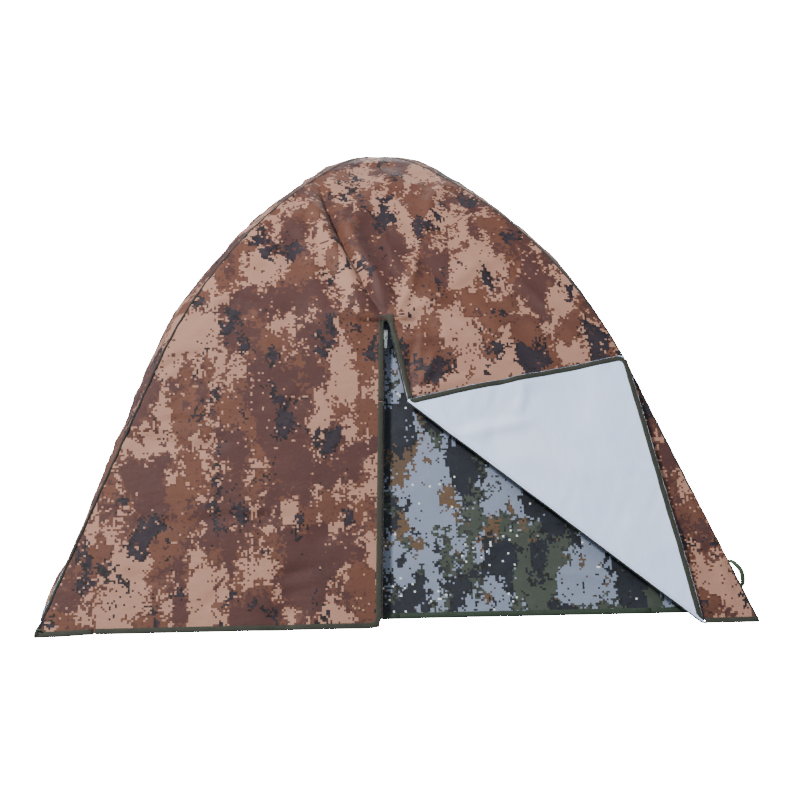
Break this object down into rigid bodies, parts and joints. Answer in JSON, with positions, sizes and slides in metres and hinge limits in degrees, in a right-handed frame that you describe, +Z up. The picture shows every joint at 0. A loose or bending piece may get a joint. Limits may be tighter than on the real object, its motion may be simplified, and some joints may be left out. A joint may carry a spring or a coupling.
{
  "type": "dome field blind",
  "caption": "Two-layer square dome blind: pole-framed inner shell under a padded, lined camouflage cover with a zipped slit door, one flap folded back.",
  "frame": {"origin": "centre of the square base, on the ground", "axes": "+Z up to the apex, -Y out through the door, +X to the right when facing the door from outside"},
  "size_m": [2.0014, 2.0059, 1.3502],
  "materials": {
    "desert_camouflage": "coated cloth with a soft sheen, sand, brown, maroon and charcoal digital camouflage",
    "woodland_camouflage": "thin cloth, pale grey, green, brown and navy digital camouflage",
    "white_lining": "smooth white satin lining",
    "olive_binding": "dark olive woven tape",
    "shell_hem_tape": "dark green woven tape",
    "green_webbing": "green woven webbing",
    "zip_coil": "black coil zip",
    "slider_metal": "plated metal",
    "fibreglass": "dark fibreglass",
    "ferrule_steel": "plated steel",
    "tip_plastic": "moulded black",
    "elastic_cord": "braided elastic cord",
    "eyelet_brass": "stamped brass"
  },
  "bodies": {
    "hide": {"anchor_tabs": "green_webbing", "apex_tie": "green_webbing", "corner_loop_front_left": "green_webbing", "corner_loop_front_right": "green_webbing", "corner_loop_rear_left": "green_webbing", "corner_loop_rear_right": "green_webbing", "corner_piping": "olive_binding", "cover_front_left": "desert_camouflage", "cover_front_right": "desert_camouflage", "cover_hem": "olive_binding", "cover_left_wall": "desert_camouflage", "cover_rear_wall": "desert_camouflage", "cover_right_wall": "desert_camouflage", "foot_eyelets": "eyelet_brass", "lining_front": "white_lining", "lining_left_wall": "white_lining", "lining_rear_wall": "white_lining", "lining_right_wall": "white_lining", "pole_a_ferrules": "ferrule_steel", "pole_a_section_1": "fibreglass", "pole_a_section_2": "fibreglass", "pole_a_section_3": "fibreglass", "pole_a_section_4": "fibreglass", "pole_a_section_5": "fibreglass", "pole_b_ferrules": "ferrule_steel", "pole_b_section_1": "fibreglass", "pole_b_section_2": "fibreglass", "pole_b_section_3": "fibreglass", "pole_b_section_4": "fibreglass", "pole_b_section_5": "fibreglass", "pole_tips": "tip_plastic", "seam_tabs": "green_webbing", "shell_front_left": "woodland_camouflage", "shell_front_right": "woodland_camouflage", "shell_hem": "shell_hem_tape", "shell_left_wall": "woodland_camouflage", "shell_rear_wall": "woodland_camouflage", "shell_right_wall": "woodland_camouflage", "shock_cords": "elastic_cord", "sleeve_front_left": "green_webbing", "sleeve_front_right": "green_webbing", "sleeve_rear_left": "green_webbing", "sleeve_rear_right": "green_webbing", "slit_binding_left": "olive_binding", "slit_binding_right": "olive_binding", "zip_chain_upper": "zip_coil", "zip_top_stop": "zip_coil"},
    "right_flap": {"right_flap_face": "desert_camouflage", "right_flap_lining": "white_lining", "right_flap_binding": "olive_binding", "right_flap_zip_chain": "zip_coil"},
    "left_flap": {"left_flap_face": "desert_camouflage", "left_flap_lining": "white_lining", "left_flap_binding": "olive_binding", "left_flap_zip_chain": "zip_coil"},
    "zip_slider": {"zip_slider": "slider_metal"},
    "zip_pull": {"zip_pull": "slider_metal"},
    "inner_door": {"shell_door": "woodland_camouflage", "shell_door_hem": "shell_hem_tape"}
  },
  "joints": [
    {"name": "right_flap_fold", "type": "hinge", "parent": "hide", "child": "right_flap", "pos_m": [0.035, -0.73177, 0.60851], "axis": [0.7733, -0.2569, -0.5797], "range_deg": [0, 180]},
    {"name": "left_flap_fold", "type": "hinge", "parent": "hide", "child": "left_flap", "pos_m": [-0.0374, -0.73177, 0.60851], "axis": [-0.7724, -0.2573, -0.5807], "range_deg": [0, 180]},
    {"name": "zip_travel", "type": "slide", "parent": "hide", "child": "zip_slider", "axis": [-0.0419, -0.4088, -0.9117], "range_m": [0, 0.835]},
    {"name": "zip_pull_swing", "type": "hinge", "parent": "zip_slider", "child": "zip_pull", "pos_m": [-0.023, -0.64874, 0.78922], "axis": [-0.9991, 0.0171, 0.0382], "range_deg": [0, 150]},
    {"name": "inner_door_fold", "type": "hinge", "parent": "hide", "child": "inner_door", "pos_m": [-0.00495, -0.7174, 0.54885], "axis": [0.7733, -0.2569, -0.5797], "range_deg": [0, 100]}
  ]
}
